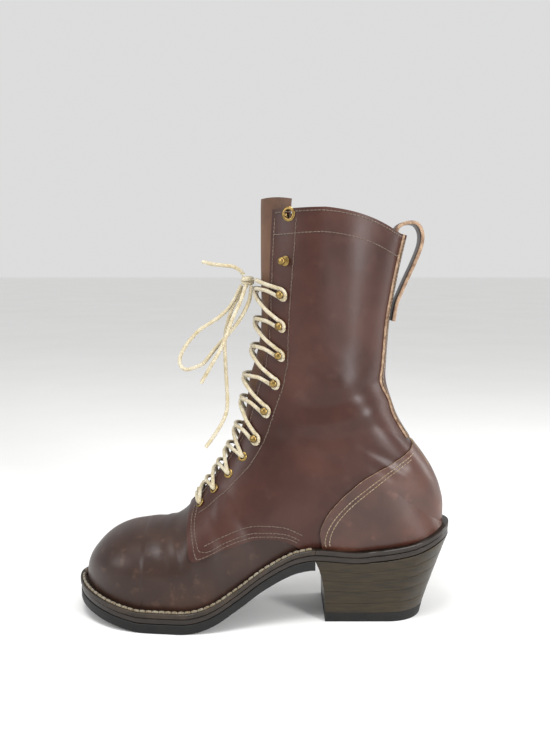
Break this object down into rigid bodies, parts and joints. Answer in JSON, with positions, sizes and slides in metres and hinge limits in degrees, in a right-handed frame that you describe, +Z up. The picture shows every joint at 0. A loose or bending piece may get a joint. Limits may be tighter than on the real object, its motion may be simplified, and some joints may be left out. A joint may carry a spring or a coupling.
{
  "type": "logger boot",
  "caption": "Left lace-up logger boot with a high raked heel, a stitched-out welt, a plain round toe, lower eyelets, speed hooks above them and a pull loop at the back.",
  "frame": {"origin": "On the floor under the middle of the heel's base.", "axes": "+Z is up, -X points to the toe, -Y is the outer (lateral) side of this left boot."},
  "size_m": [0.3155, 0.1127, 0.347],
  "materials": {
    "oiled_brown_leather": "oiled full-grain leather, semi-gloss",
    "sole_leather": "stacked and edge-dressed sole leather",
    "insole_leather": "undyed leather board, matte",
    "black_rubber": "matte black rubber",
    "brass": "aged brass, semi-gloss",
    "braided_cord": "waxed braided cord, matte"
  },
  "bodies": {
    "root": {"backstay": "oiled_brown_leather", "counter": "oiled_brown_leather", "eyelet_1_lateral": "brass", "eyelet_1_medial": "brass", "eyelet_2_lateral": "brass", "eyelet_2_medial": "brass", "eyelet_3_lateral": "brass", "eyelet_3_medial": "brass", "eyelet_4_lateral": "brass", "eyelet_4_medial": "brass", "eyelet_top_lateral": "brass", "eyelet_top_medial": "brass", "heel_lift_1": "sole_leather", "heel_lift_2": "sole_leather", "heel_lift_3": "sole_leather", "heel_lift_4": "sole_leather", "heel_lift_5": "sole_leather", "heel_rand": "sole_leather", "hook_1_lateral": "brass", "hook_1_medial": "brass", "hook_2_lateral": "brass", "hook_2_medial": "brass", "hook_3_lateral": "brass", "hook_3_medial": "brass", "hook_4_lateral": "brass", "hook_4_medial": "brass", "hook_5_lateral": "brass", "hook_5_medial": "brass", "hook_6_lateral": "brass", "hook_6_medial": "brass", "hook_7_lateral": "brass", "hook_7_medial": "brass", "insole": "insole_leather", "lace_bar": "braided_cord", "lace_cross_1": "braided_cord", "lace_cross_2": "braided_cord", "lace_cross_3": "braided_cord", "lace_cross_4": "braided_cord", "lace_cross_5": "braided_cord", "lace_cross_6": "braided_cord", "lace_cross_7": "braided_cord", "lace_cross_8": "braided_cord", "lace_cross_9": "braided_cord", "lace_end_a": "braided_cord", "lace_end_b": "braided_cord", "lace_knot": "braided_cord", "lace_loop": "braided_cord", "lace_strand": "braided_cord", "lace_tie": "braided_cord", "midsole": "sole_leather", "outsole": "black_rubber", "pull_loop": "oiled_brown_leather", "tongue": "oiled_brown_leather", "top_lift": "black_rubber", "upper": "oiled_brown_leather", "welt": "sole_leather"}
  },
  "joints": []
}
